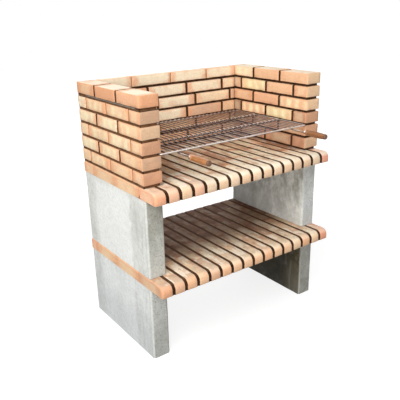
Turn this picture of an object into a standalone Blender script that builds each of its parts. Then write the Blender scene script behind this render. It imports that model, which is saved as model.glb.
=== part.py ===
"""Prefabricated brick barbecue: two brick slabs on concrete legs, a U of brick walls and a sliding grill.

Metres, +Z up, X to the right, Y to the back. The origin lies on the ground, in the middle of the whole
object's width and depth. Only the grill moves: it slides to the front in a raked bed joint of the wings.
"""

import math

import bmesh
import bpy
from mathutils import Matrix, Vector

# Overall sizes
overall_width = 1.000
shelf_depth = 0.660
seat_gap = 0.0003
weld_distance = 0.00002

# Legs, from the shelf's front edge backwards
lower_leg_height = 0.348
upper_leg_height = 0.352
leg_thickness = 0.086
leg_setback = 0.098
leg_chamfer = 0.008

# Slabs of brick rows
slab_thickness = 0.051
hearth_setback = 0.018
row_count = 16
row_joint = 0.011
row_joint_recess = 0.002
nose_radius = 0.028
nose_steps = 6
end_radius = 0.009
end_steps = 2

# Walls of the firebox
course_count = 6
brick_thickness = 0.051
wall_joint = 0.011
wall_joint_recess = 0.010
wing_setback = 0.100
wing_thickness = 0.089
wing_brick_length = 0.183
back_wall_thickness = 0.030
back_brick_length = 0.220
top_back_joint = 0.004
corner_joint = 0.004
corner_joint_inset = 0.001

# First brick of each back wall course at the left, from the top course down
back_first_bricks = (0.174, 0.026, 0.081, 0.026, 0.081, 0.026)

# Grill
grill_course = 2
frame_rod = 0.008
frame_bend_radius = 0.012
frame_bend_steps = 3
grill_front_inset = 0.004
grill_back_clearance = 0.006
groove_clearance = 0.002
cross_rod = 0.0076
cross_bar_count = 2
wire_rod = 0.005
wire_end_inset = 0.0015
wire_count = 31
weld_sink = 0.0008

# Handles of the grill
handle_inset = 0.090
stem_length = 0.0933
ferrule_length = 0.012
ferrule_radius = 0.0095
ferrule_edge = 0.0015
tang_length = 0.040
tang_clearance = 0.0004
grip_length = 0.120
grip_base_radius = 0.0125
grip_belly_radius = 0.0142
grip_end_radius = 0.0118
grip_edge = 0.003
turned_steps = 16

# Colours: red, green, blue, then roughness and metallic
FINISHES = {
    "concrete": ((0.56, 0.57, 0.56), 0.92, 0.0),
    "brick": ((0.88, 0.66, 0.50), 0.85, 0.0),
    "mortar": ((0.085, 0.05, 0.035), 0.95, 0.0),
    "steel": ((0.62, 0.60, 0.57), 0.32, 1.0),
    "wood": ((0.62, 0.31, 0.12), 0.55, 0.0),
}

# Heights of the stack, from the ground up
shelf_bottom = lower_leg_height + seat_gap
shelf_top = shelf_bottom + slab_thickness
upper_leg_bottom = shelf_top + seat_gap
hearth_bottom = upper_leg_bottom + upper_leg_height + seat_gap
hearth_top = hearth_bottom + slab_thickness
course_pitch = brick_thickness + wall_joint
least_brick_length = 2 * wall_joint
wall_top = hearth_top + course_count * course_pitch

# Widths
half_width = overall_width / 2
inner_half_width = half_width - wing_thickness
row_width = (overall_width - (row_count - 1) * row_joint) / row_count

# Depths: how far the grips reach in front of the shelf sets the middle of the whole object
grip_reach = (grip_length + seat_gap + stem_length) - (wing_setback + grill_front_inset + frame_rod / 2)
shelf_front = -(shelf_depth + grip_reach) / 2 + grip_reach
back_plane = shelf_front + shelf_depth
hearth_front = shelf_front + hearth_setback
leg_front = shelf_front + leg_setback
wing_front = shelf_front + wing_setback
back_wall_front = back_plane - back_wall_thickness

# The grill's bars
ledge_height = hearth_top + grill_course * course_pitch
bar_height = ledge_height + seat_gap + frame_rod / 2
side_rod_x = inner_half_width + wall_joint_recess - groove_clearance - frame_rod / 2
front_bar_y = wing_front + grill_front_inset
back_bar_y = back_wall_front - grill_back_clearance - frame_rod / 2

# The stems run under the front bar
stem_back = front_bar_y + frame_rod / 2
handle_x = side_rod_x - handle_inset
handle_height = bar_height - frame_rod - seat_gap


def clear_scene():
    """Remove the objects that the file opens with."""
    for old in list(bpy.data.objects):
        bpy.data.objects.remove(old, do_unlink=True)


def new_collection(name):
    collection = bpy.data.collections.new(name)
    bpy.context.scene.collection.children.link(collection)
    return collection


def make_finish(name):
    """One Principled material from the table of finishes."""
    colour, roughness, metallic = FINISHES[name]
    material = bpy.data.materials.new(name)
    material.use_nodes = True
    shader = material.node_tree.nodes["Principled BSDF"]
    shader.inputs["Base Color"].default_value = (*colour, 1.0)
    shader.inputs["Roughness"].default_value = roughness
    shader.inputs["Metallic"].default_value = metallic
    material.diffuse_color = (*colour, 1.0)
    return material


def add_object(name, data, finish):
    """Put a mesh or a curve into the barbecue's collection under a node name."""
    item = bpy.data.objects.new(name, data)
    data.materials.append(finish)
    barbecue.objects.link(item)
    return item


def mesh_from(work, name):
    """Turn finished bmesh work into a mesh and free it."""
    bmesh.ops.recalc_face_normals(work, faces=work.faces)
    mesh = bpy.data.meshes.new(name)
    work.to_mesh(mesh)
    work.free()
    return mesh


def add_block(work, low, high):
    """Add a box between two corners to some bmesh work, and give back its points."""
    low = Vector(low)
    high = Vector(high)
    size = high - low
    place = Matrix.Translation((low + high) / 2) @ Matrix.Diagonal((*size, 1.0))
    return bmesh.ops.create_cube(work, size=1.0, matrix=place)["verts"]


def edges_along(work, axis):
    """The straight edges of the work that run along one axis."""
    found = []
    for edge in work.edges:
        run = edge.verts[1].co - edge.verts[0].co
        if abs(run[axis]) > run.length - weld_distance:
            found.append(edge)
    return found


def round_edges(work, edges, radius, steps):
    bmesh.ops.bevel(work, geom=edges, offset=radius, segments=steps, profile=0.5, affect="EDGES")


def add_tubes(name, runs, diameter, sides_resolution, cyclic, finish):
    """Round bars along runs of points, in one object, with flats a diameter apart that face up and down."""
    sides = 4 + 2 * sides_resolution
    curve = bpy.data.curves.new(name, "CURVE")
    curve.dimensions = "3D"
    curve.twist_mode = "Z_UP"
    curve.bevel_depth = diameter / 2 / math.cos(math.pi / sides)
    curve.bevel_resolution = sides_resolution
    curve.use_fill_caps = True
    for run in runs:
        spline = curve.splines.new("POLY")
        spline.points.add(len(run) - 1)
        for point, place in zip(spline.points, run):
            point.co = (*place, 1.0)
            point.tilt = math.pi / 2 + math.pi / sides
        spline.use_cyclic_u = cyclic
    return as_mesh(add_object(name, curve, finish))


def as_mesh(item):
    """Turn a curve object into a mesh object with the same name and place, its caps welded on."""
    bpy.context.view_layer.update()
    shape = item.evaluated_get(bpy.context.evaluated_depsgraph_get())
    work = bmesh.new()
    raw = bpy.data.meshes.new_from_object(shape)
    work.from_mesh(raw)
    bmesh.ops.remove_doubles(work, verts=work.verts, dist=weld_distance)
    name = item.name
    place = item.matrix_world.copy()
    finish = item.data.materials[0]
    bpy.data.objects.remove(item, do_unlink=True)
    bpy.data.meshes.remove(raw)
    solid = add_object(name, mesh_from(work, name), finish)
    solid.matrix_world = place
    return solid


def cut_run(total, first, length, joint):
    """Lay bricks along a run: a first piece, then whole bricks, then what is left.

    Gives the pieces as pairs of distances from the start. A last piece that would be too short to lay
    is taken up by the brick before it.
    """
    pieces = [(0.0, min(first, total))]
    start = first + joint
    while start + length + joint + least_brick_length < total:
        pieces.append((start, start + length))
        start += length + joint
    if total - start > least_brick_length:
        pieces.append((start, total))
    else:
        pieces[-1] = (pieces[-1][0], total)
    return pieces


def course_outline(pieces, thickness, recess):
    """Plan of one course: brick ends flush, upright joints raked back by the recess on both faces."""
    near = []
    far = []
    for index, (start, end) in enumerate(pieces):
        if index:
            near.append((start, recess))
            far.append((start, thickness - recess))
        near.append((start, 0.0))
        far.append((start, thickness))
        near.append((end, 0.0))
        far.append((end, thickness))
        if index < len(pieces) - 1:
            near.append((end, recess))
            far.append((end, thickness - recess))
    return near + far[::-1]


def add_plan_prism(name, outline, corner, direction, bottom, height, finish):
    """Raise a flat outline to a height. The outline's first axis runs along the given direction."""
    curve = bpy.data.curves.new(name, "CURVE")
    curve.dimensions = "2D"
    curve.fill_mode = "BOTH"
    curve.extrude = height / 2
    spline = curve.splines.new("POLY")
    spline.points.add(len(outline) - 1)
    for point, (along, across) in zip(spline.points, outline):
        point.co = (along, across, 0.0, 1.0)
    spline.use_cyclic_u = True
    item = add_object(name, curve, finish)
    item.location = (corner[0], corner[1], bottom + height / 2)
    item.rotation_euler = (0.0, 0.0, direction)
    return item


def make_leg(name, left_x, bottom, height, finish):
    """A concrete slab on edge with chamfered upright edges."""
    work = bmesh.new()
    add_block(work, (0.0, 0.0, 0.0), (leg_thickness, back_plane - leg_front, height))
    round_edges(work, edges_along(work, 2), leg_chamfer, 1)
    leg = add_object(name, mesh_from(work, name), finish)
    leg.location = (left_x, leg_front, bottom)
    return leg


def make_row(name, index, front, bottom, finish):
    """One row of bricks from front to back, with the mortar joint against its right side.

    The front end is bullnosed, and the outer rows are also rounded along their free side.
    """
    depth = back_plane - front
    work = bmesh.new()
    add_block(work, (0.0, 0.0, 0.0), (row_width, depth, slab_thickness))
    nose = []
    for edge in edges_along(work, 0):
        middle = (edge.verts[0].co + edge.verts[1].co) / 2
        if middle.y < seat_gap and middle.z > slab_thickness - seat_gap:
            nose.append(edge)
    round_edges(work, nose, nose_radius, nose_steps)
    if index in (0, row_count - 1):
        free_side = 0.0 if index == 0 else row_width
        rim = []
        for edge in work.edges:
            first, second = (corner.co for corner in edge.verts)
            on_side = abs(first.x - free_side) < seat_gap and abs(second.x - free_side) < seat_gap
            on_bottom = max(first.z, second.z) < seat_gap
            on_back = min(first.y, second.y) > depth - seat_gap
            if on_side and not on_bottom and not on_back:
                rim.append(edge)
        round_edges(work, rim, end_radius, end_steps)
    if index < row_count - 1:
        side = max(work.faces, key=lambda face: face.calc_center_median().x)
        bmesh.ops.inset_region(work, faces=[side], thickness=row_joint_recess)
        joint_face = bmesh.ops.extrude_discrete_faces(work, faces=[side])["faces"][0]
        reach = Vector((row_joint - seat_gap, 0.0, 0.0))
        bmesh.ops.translate(work, verts=joint_face.verts, vec=reach)
    row = add_object(name, mesh_from(work, name), finish)
    row.location = (-half_width + index * (row_width + row_joint), front, bottom)
    return row


def make_slab(name, front, bottom, finish):
    for index in range(row_count):
        make_row(f"{name}_row_{index + 1:02d}", index, front, bottom, finish)


def course_bottom(number):
    """Bottom of a course, counted from 1 at the top."""
    from_hearth = course_count - number
    return hearth_top + from_hearth * course_pitch + wall_joint


def make_wing_courses(side, face_x, finish):
    """The courses of one wing. Odd ones start with a whole brick at the front, even ones with a half."""
    depth = back_plane - wing_front
    half_brick = (wing_brick_length - wall_joint) / 2
    for number in range(1, course_count + 1):
        first = wing_brick_length if number % 2 else half_brick
        pieces = cut_run(depth, first, wing_brick_length, wall_joint)
        outline = course_outline(pieces, wing_thickness, wall_joint_recess)
        add_plan_prism(f"{side}_wing_course_{number}", outline, (face_x, wing_front), math.pi / 2,
                       course_bottom(number), brick_thickness, finish)


def make_back_courses(finish):
    """The courses of the back wall, between the two wings, with a joint at each end."""
    left_x = -inner_half_width + corner_joint
    width = 2 * (inner_half_width - corner_joint)
    for number in range(1, course_count + 1):
        first = back_first_bricks[(number - 1) % len(back_first_bricks)]
        joint = top_back_joint if number == 1 else wall_joint
        pieces = cut_run(width, first, back_brick_length, joint)
        outline = course_outline(pieces, back_wall_thickness, wall_joint_recess)
        add_plan_prism(f"back_wall_course_{number}", outline, (left_x, back_wall_front), 0.0,
                       course_bottom(number), brick_thickness, finish)


def make_firebox_mortar(finish):
    """The raked bed joints, each a U round the three walls, held together by the inner corner joints."""
    recess = wall_joint_recess
    outer_x = half_width - recess
    inner_x = inner_half_width + recess
    front_y = wing_front + recess
    inner_y = back_wall_front + recess
    outer_y = back_plane - recess
    plan = [(-outer_x, front_y), (-inner_x, front_y), (-inner_x, inner_y), (inner_x, inner_y),
            (inner_x, front_y), (outer_x, front_y), (outer_x, outer_y), (-outer_x, outer_y)]
    bed_height = wall_joint - 2 * seat_gap
    bed = as_mesh(add_plan_prism("firebox_mortar", plan, (0.0, 0.0), 0.0, hearth_top + seat_gap, bed_height, finish))
    beds = bed.modifiers.new("one bed under each course", "ARRAY")
    beds.count = course_count
    beds.use_relative_offset = False
    beds.use_constant_offset = True
    beds.constant_offset_displace = (0.0, 0.0, course_pitch)

    uprights = bmesh.new()
    for side in (-1, 1):
        near = side * (inner_half_width - corner_joint + seat_gap)
        far = side * (inner_half_width - seat_gap)
        low = (min(near, far), inner_y + corner_joint_inset, hearth_top + seat_gap + corner_joint_inset)
        high = (max(near, far), outer_y - corner_joint_inset, wall_top - recess)
        add_block(uprights, low, high)
    unite(bed, guide("corner_joints", mesh_from(uprights, "corner_joints"), finish))


def guide(name, mesh, finish):
    """A shape that is only used to build another one."""
    return hide_guide(add_object(name, mesh, finish))


def hide_guide(item):
    """Keep a shape as a hidden guide among the cutters."""
    barbecue.objects.unlink(item)
    cutters.objects.link(item)
    item.hide_render = True
    item.display_type = "WIRE"
    return item


def unite(item, other):
    """Unite an object with a guide."""
    union = item.modifiers.new("unite", "BOOLEAN")
    union.operation = "UNION"
    union.solver = "EXACT"
    union.object = other


def frame_run():
    """The grill's frame, one bar bent round its four corners, as points from the front left corner on."""
    corners = [
        (-side_rod_x, front_bar_y, math.pi),
        (side_rod_x, front_bar_y, math.pi * 1.5),
        (side_rod_x, back_bar_y, 0.0),
        (-side_rod_x, back_bar_y, math.pi / 2),
    ]
    run = []
    for x, y, start_angle in corners:
        centre_x = x - math.copysign(frame_bend_radius, x)
        centre_y = y + (frame_bend_radius if y == front_bar_y else -frame_bend_radius)
        for step in range(frame_bend_steps + 1):
            angle = start_angle + math.pi / 2 * step / frame_bend_steps
            run.append((centre_x + frame_bend_radius * math.cos(angle),
                        centre_y + frame_bend_radius * math.sin(angle), bar_height))
    return run


def make_grill_grid(finish):
    """A bent frame, the cross bars welded between its sides and the wires welded on top."""
    grid = add_tubes("grill_grid", [frame_run()], frame_rod, 2, True, finish)

    bar_step = (back_bar_y - front_bar_y) / (cross_bar_count + 1)
    cross_runs = []
    for index in range(cross_bar_count):
        y = front_bar_y + (index + 1) * bar_step
        cross_runs.append([(-side_rod_x, y, bar_height), (side_rod_x, y, bar_height)])
    unite(grid, hide_guide(add_tubes("cross_bars", cross_runs, cross_rod, 2, False, finish)))

    wire_runs = []
    wire_pitch = 2 * side_rod_x / (wire_count + 1)
    wire_height = bar_height + frame_rod / 2 - weld_sink + wire_rod / 2
    front_end = front_bar_y - wire_end_inset
    back_end = back_bar_y + wire_end_inset
    for index in range(wire_count):
        x = -side_rod_x + (index + 1) * wire_pitch
        wire_runs.append([(x, front_end, wire_height), (x, back_end, wire_height)])
    unite(grid, hide_guide(add_tubes("wires", wire_runs, wire_rod, 1, False, finish)))
    return grid


def add_turned(name, profile, location, finish):
    """Turn a profile of (radius, distance) pairs about an axis that points to the front."""
    mesh = bpy.data.meshes.new(name)
    points = [(radius, 0.0, -distance) for radius, distance in profile]
    mesh.from_pydata(points, [(index, index + 1) for index in range(len(points) - 1)], [])
    item = add_object(name, mesh, finish)
    turn = item.modifiers.new("turn", "SCREW")
    turn.axis = "Z"
    turn.steps = turned_steps
    turn.render_steps = turned_steps
    turn.use_merge_vertices = True
    turn.merge_threshold = weld_distance
    turn.use_smooth_shade = True
    item.location = location
    item.rotation_euler = (-math.pi / 2, 0.0, 0.0)
    return item


def make_handle(side, x, steel, wood):
    """A stem with its ferrule, from under the front bar to the front, and the turned grip on its tang."""
    rod_radius = frame_rod / 2
    ferrule_start = stem_length - ferrule_length
    stem_profile = [
        (0.0, 0.0),
        (rod_radius, 0.0),
        (rod_radius, ferrule_start),
        (ferrule_radius - ferrule_edge, ferrule_start),
        (ferrule_radius, ferrule_start + ferrule_edge),
        (ferrule_radius, stem_length),
        (rod_radius, stem_length),
        (rod_radius, stem_length + tang_length),
        (0.0, stem_length + tang_length),
    ]
    stem = add_turned(f"handle_stem_{side}", stem_profile, (x, stem_back, handle_height), steel)

    bore_radius = rod_radius + tang_clearance
    bore_end = tang_length + tang_clearance
    grip_profile = [
        (0.0, bore_end),
        (bore_radius, bore_end),
        (bore_radius, 0.0),
        (grip_base_radius - grip_edge, 0.0),
        (grip_base_radius, grip_edge),
    ]
    belly_shares = (0.25, 0.5, 0.75)
    straight = grip_length - 2 * grip_edge
    for share in belly_shares:
        ends = grip_base_radius + (grip_end_radius - grip_base_radius) * share
        swell = (grip_belly_radius - (grip_base_radius + grip_end_radius) / 2) * math.sin(math.pi * share)
        grip_profile.append((ends + swell, grip_edge + straight * share))
    grip_profile.append((grip_end_radius, grip_length - grip_edge))
    grip_profile.append((grip_end_radius - grip_edge, grip_length))
    grip_profile.append((0.0, grip_length))
    grip_back = stem_back - stem_length - seat_gap
    grip = add_turned(f"handle_grip_{side}", grip_profile, (x, grip_back, handle_height), wood)
    return [stem, grip]


def carry(name, location, pieces):
    """Hang pieces that move together from an empty, and leave each where it is."""
    carrier = bpy.data.objects.new(name, None)
    carrier.location = location
    barbecue.objects.link(carrier)
    bpy.context.view_layer.update()
    for piece in pieces:
        piece.parent = carrier
        piece.matrix_parent_inverse = carrier.matrix_world.inverted()


clear_scene()
barbecue = new_collection("prefabricated_barbecue")
cutters = new_collection("cutters")
finishes = {name: make_finish(name) for name in FINISHES}

right_leg_x = half_width - leg_thickness
make_leg("lower_leg_left", -half_width, 0.0, lower_leg_height, finishes["concrete"])
make_leg("lower_leg_right", right_leg_x, 0.0, lower_leg_height, finishes["concrete"])
make_slab("shelf", shelf_front, shelf_bottom, finishes["brick"])
make_leg("upper_leg_left", -half_width, upper_leg_bottom, upper_leg_height, finishes["concrete"])
make_leg("upper_leg_right", right_leg_x, upper_leg_bottom, upper_leg_height, finishes["concrete"])
make_slab("hearth", hearth_front, hearth_bottom, finishes["brick"])

make_firebox_mortar(finishes["mortar"])
make_wing_courses("left", -inner_half_width, finishes["brick"])
make_wing_courses("right", half_width, finishes["brick"])
make_back_courses(finishes["brick"])

grill = [make_grill_grid(finishes["steel"])]
for side, x in (("left", -handle_x), ("right", handle_x)):
    grill += make_handle(side, x, finishes["steel"], finishes["wood"])
carry("grill_slide", (0.0, front_bar_y, bar_height), grill)
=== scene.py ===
"""Looks of the prefabricated barbecue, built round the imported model."""

import math
import random

import bmesh
import bpy
from mathutils import Matrix, Vector, noise


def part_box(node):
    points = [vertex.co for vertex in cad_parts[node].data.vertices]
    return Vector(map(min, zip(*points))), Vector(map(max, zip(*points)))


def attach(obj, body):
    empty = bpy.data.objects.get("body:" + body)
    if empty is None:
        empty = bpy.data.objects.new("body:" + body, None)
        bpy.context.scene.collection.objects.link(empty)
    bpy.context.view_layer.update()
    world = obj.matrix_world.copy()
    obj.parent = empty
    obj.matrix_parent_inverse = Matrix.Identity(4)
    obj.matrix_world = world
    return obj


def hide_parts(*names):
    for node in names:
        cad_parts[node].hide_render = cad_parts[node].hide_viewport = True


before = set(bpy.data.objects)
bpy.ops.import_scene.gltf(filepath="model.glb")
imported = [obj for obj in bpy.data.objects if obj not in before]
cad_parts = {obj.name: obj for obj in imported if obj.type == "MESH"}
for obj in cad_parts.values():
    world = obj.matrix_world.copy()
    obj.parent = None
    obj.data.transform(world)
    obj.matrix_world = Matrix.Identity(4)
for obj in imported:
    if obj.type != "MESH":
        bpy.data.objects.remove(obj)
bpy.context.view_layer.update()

# Tones of the bricks, as seen on screen
TONES = {
    "pale": (0.975, 0.905, 0.785),
    "cream": (0.965, 0.86, 0.72),
    "straw": (0.945, 0.845, 0.655),
    "sand": (0.95, 0.805, 0.65),
    "peach": (0.94, 0.75, 0.59),
    "apricot": (0.925, 0.705, 0.55),
    "orange": (0.885, 0.645, 0.485),
    "salmon": (0.935, 0.67, 0.54),
    "rose": (0.925, 0.64, 0.53),
    "blush": (0.945, 0.765, 0.65),
    "coral": (0.99, 0.705, 0.615),
    "fawn": (0.875, 0.72, 0.595),
    "tan": (0.84, 0.71, 0.58),
    "rust": (0.83, 0.635, 0.505),
    "dun": (0.77, 0.63, 0.515),
    "clay": (0.765, 0.58, 0.46),
    "umber": (0.735, 0.535, 0.415),
    "brown": (0.63, 0.48, 0.39),
}

# How far a brick's rims are flamed and its heart is bleached
STYLES = {
    "plain": (0.3, 0.05),
    "soft": (0.55, 0.4),
    "glow": (0.78, 0.88),
    "bars": (0.5, 1.0),
}

# Bricks of each course, top course first: the wings from the front, the back wall from the left
LEFT_WING = (
    "apricot plain, orange plain, orange soft",
    "apricot soft, peach glow, peach glow, pale soft",
    "peach glow, cream glow, cream glow",
    "peach soft, cream glow, sand glow, sand soft",
    "peach soft, sand glow, cream glow",
    "apricot soft, peach soft, peach glow, sand plain",
)
# In the right wing, courses 5 and 6 below the grill and the back corner bricks of courses 2 and 4
# have darker tones: painted shade
RIGHT_WING = (
    "peach plain, peach plain, cream glow",
    "apricot soft, peach plain, straw bars, dun soft",
    "peach bars, apricot plain, orange soft",
    "umber soft, straw bars, peach bars, brown soft",
    "rust soft, clay soft, brown soft",
    "umber plain, umber soft, brown soft, brown plain",
)
BACK_WALL = (
    "pale glow, pale glow, pale glow, pale glow",
    "umber soft, apricot soft, pale glow, pale glow, cream glow",
    "sand glow, clay soft, pale glow, cream soft, fawn glow",
    "pale glow, sand soft, pale glow, fawn glow, sand glow",
    "sand soft, peach soft, sand glow, peach glow, sand soft",
    "tan soft, sand soft, peach soft, tan soft, tan soft",
)
# Tones of the wings' front ends, darker than their sides: partly their own tone, partly painted shade
LEFT_FRONTS = "orange dun tan clay dun clay".split()
RIGHT_FRONTS = "sand sand sand rust rust tan".split()
HEARTH_NOSES = (
    "salmon blush cream blush pale cream pale cream "
    "pale cream pale cream pale cream pale coral"
).split()
SHELF_NOSES = (
    "rust fawn peach sand fawn peach sand sand "
    "sand peach sand sand cream peach cream rose"
).split()
ROW_TONES = "pale pale pale cream cream peach rust clay umber umber".split()
OUTER_TONES = "apricot peach sand salmon peach".split()

# Colours that the materials lay over one another, as seen on screen
PAINTS = {
    "bleached heart": (1.0, 0.93, 0.77),
    "pale bar": (0.995, 0.945, 0.77),
    "flamed rim": (0.935, 0.68, 0.51),
    "flamed patch": (0.915, 0.69, 0.54),
    "dark speck": (0.47, 0.33, 0.24),
    "wall top dust and highlight": (0.985, 0.93, 0.835),
    "slab dust and shade": (0.8, 0.722, 0.622),
    "pale lip and highlight": (0.995, 0.945, 0.855),
    "scorched patch": (0.69, 0.485, 0.375),
    "whitened patch": (0.985, 0.94, 0.865),
    "soot and shade": (0.56, 0.38, 0.27),
    "painted shade at rear": (0.385, 0.235, 0.155),
    "darker nose foot": (0.76, 0.62, 0.5),
    # Mortar smear with painted shade of the joint, and below it a paler copy, painted light on faces
    # that look up
    "mortar smear and joint shade": (0.235, 0.15, 0.095),
    "lit mortar smear and joint shade": (0.42, 0.29, 0.205),
    "cast grey": (0.815, 0.817, 0.79),
    "cast pale": (0.925, 0.928, 0.905),
    "cast patch": (0.915, 0.92, 0.905),
    "cast streak": (0.73, 0.728, 0.695),
    "cast field": (0.982, 0.986, 0.968),
    "cast foot": (0.735, 0.745, 0.745),
    "end grime and shade": (0.535, 0.525, 0.47),
    "end speckle": (0.42, 0.41, 0.37),
    "shade by the chamfer": (0.77, 0.78, 0.755),
    "lit inside": (0.815, 0.815, 0.805),
    "damp grime and shade": (0.235, 0.215, 0.16),
    "mottled grime and shade": (0.4, 0.38, 0.315),
    "pale smear": (0.83, 0.83, 0.8),
    "clean patch": (0.9, 0.89, 0.87),
    "air hole": (0.36, 0.35, 0.33),
    "painted highlight on steel": (0.975, 0.965, 0.955),
    "painted shade under steel": (0.36, 0.29, 0.28),
    "dark fibre": (0.56, 0.35, 0.19),
    "light fibre": (0.75, 0.52, 0.31),
    "wood band": (0.7, 0.44, 0.25),
    "dark wood end": (0.3, 0.18, 0.11),
    "bare wood": (0.86, 0.62, 0.45),
    "aged wood": (0.42, 0.26, 0.16),
}

# Dark, pale and sandy tone of each mortar
MORTARS = {
    "dark_mortar": ((0.26, 0.17, 0.105), (0.37, 0.26, 0.175), (0.47, 0.36, 0.27)),
    "brown_mortar": ((0.4, 0.27, 0.175), (0.5, 0.35, 0.235), (0.6, 0.46, 0.34)),
    "slab_mortar": ((0.18, 0.105, 0.062), (0.275, 0.175, 0.112), (0.38, 0.27, 0.19)),
    "grey_mortar": ((0.43, 0.395, 0.35), (0.52, 0.485, 0.44), (0.62, 0.58, 0.53)),
    "pale_mortar": ((0.66, 0.47, 0.33), (0.78, 0.58, 0.43), (0.84, 0.7, 0.56)),
}

# Tints that multiply a colour
COOL = (0.99, 1.0, 1.03)
BROWNED = (0.8, 0.77, 0.7)
GREENED = (0.965, 0.985, 0.975)
WHITE = (1.0, 1.0, 1.0, 1.0)

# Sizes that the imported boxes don't give
COURSES = 6
ROWS = 16
BED_JOINT = 0.011
JOINT_RECESS = 0.01
UPRIGHT_RECESS = 0.003
MORTAR_LAP = 0.001
WING_BRICK = 0.183
BACK_BRICK = 0.22
TOP_BACK_JOINT = 0.004
BACK_FIRST_BRICKS = (0.174, 0.026, 0.081, 0.026, 0.081, 0.026)
LEAST_BRICK = 0.022
WALL_TOP = (1.15, 1.165)
ROW_BRICK = 0.2
BUTT_JOINT = 0.0002
NOSE_RADIUS = 0.028
END_RADIUS = 0.009
ROW_ARRIS = 0.0031
BUTT_ARRIS = 0.0012
CHAMFER = 0.008
FRAME_ROD = 0.004
CROSS_ROD = 0.0038
WIRE_ROD = 0.0025
CROSS_BARS = 2
WIRES = 31

# Grime and painted shade of the front end, grime and painted shade of the inner face, and strength of
# the pale field of each leg
LEG_WEAR_AND_SHADE = {
    "lower_leg_left": (0.5, 0.93, 0.5),
    "lower_leg_right": (0.73, 0.9, 0.2),
    "upper_leg_left": (0.56, 0.05, 0.75),
    "upper_leg_right": (0.15, 0.06, 0.4),
}

dice = random.Random(20)


def put_in_scene(name, data):
    item = bpy.data.objects.new(name, data)
    bpy.context.scene.collection.objects.link(item)
    return item


class Shape:
    """Points, faces and attributes of one piece while it is built.

    uvw runs from -1 to 1 over a brick. tone is its colour. mix holds a number of its own, how far
    its rims are flamed and how far its heart is bleached. The last field marks what lies in a joint,
    where mortar smear and painted shade of the joint are laid. Legs, bars and grips use the same
    fields for their wear: on legs mix and the last field also carry painted shade, and on wires the
    last field gives painted highlights.
    """

    def __init__(self):
        self.points, self.faces = [], []
        self.uvw, self.tone, self.mix, self.stain = [], [], [], []

    def add(self, points, faces, uvw=None, tone=(1.0, 1.0, 1.0), mix=(0.0, 0.0, 0.0), stain=None):
        start = len(self.points)
        self.points += points
        self.faces += [tuple(start + i for i in face) for face in faces]
        self.uvw += uvw or [(0.0, 0.0, 0.0)] * len(points)
        self.tone += tone if isinstance(tone, list) else [tone] * len(points)
        self.mix += mix if isinstance(mix, list) else [mix] * len(points)
        self.stain += stain or [0.0] * len(points)

    def piece(self, name, material, body, slot, replaces=(), smooth=True):
        mesh = bpy.data.meshes.new(name)
        mesh.from_pydata(self.points, [], self.faces)
        mesh.update()
        work = bmesh.new()
        work.from_mesh(mesh)
        bmesh.ops.recalc_face_normals(work, faces=work.faces)
        work.to_mesh(mesh)
        work.free()
        for label, kind, field, values in (
            ("brick_uvw", "FLOAT_VECTOR", "vector", self.uvw),
            ("brick_mix", "FLOAT_VECTOR", "vector", self.mix),
            ("brick_tone", "FLOAT_COLOR", "color", [(*tone, 1.0) for tone in self.tone]),
            ("brick_stain_and_light", "FLOAT", "value", [(mark,) for mark in self.stain]),
        ):
            layer = mesh.attributes.new(label, kind, "POINT")
            layer.data.foreach_set(field, [c for value in values for c in value])
        if smooth:
            mesh.polygons.foreach_set("use_smooth", [True] * len(mesh.polygons))
        mesh.materials.append(material)
        item = put_in_scene(name, mesh)
        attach(item, body)
        if replaces:
            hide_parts(*replaces)


def random_place():
    """A place of a piece's own in the noise."""
    return Vector((dice.uniform(0, 90), dice.uniform(0, 90), dice.uniform(0, 90)))


def chipped(at, rate, least):
    """How deep a chip goes at a place, from 0 to 1. rate says how close the chips are together."""
    return min(1.0, max(0.0, noise.noise(at * rate) - least) * 2.4)


def tone_of(name, shade):
    """The scene colour of a tone, made a little lighter or darker."""
    return tuple(c * shade for c in linear(TONES[name]))


def side_stops(length, radius, spacing):
    """Where a side is divided: close together in the rounded arrises, evenly between them."""
    count = max(1, round((length - 2 * radius) / spacing))
    inner = [radius + (length - 2 * radius) * i / count for i in range(count + 1)]
    return [0.0, radius * 0.35] + inner + [length - radius * 0.35, length]


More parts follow.
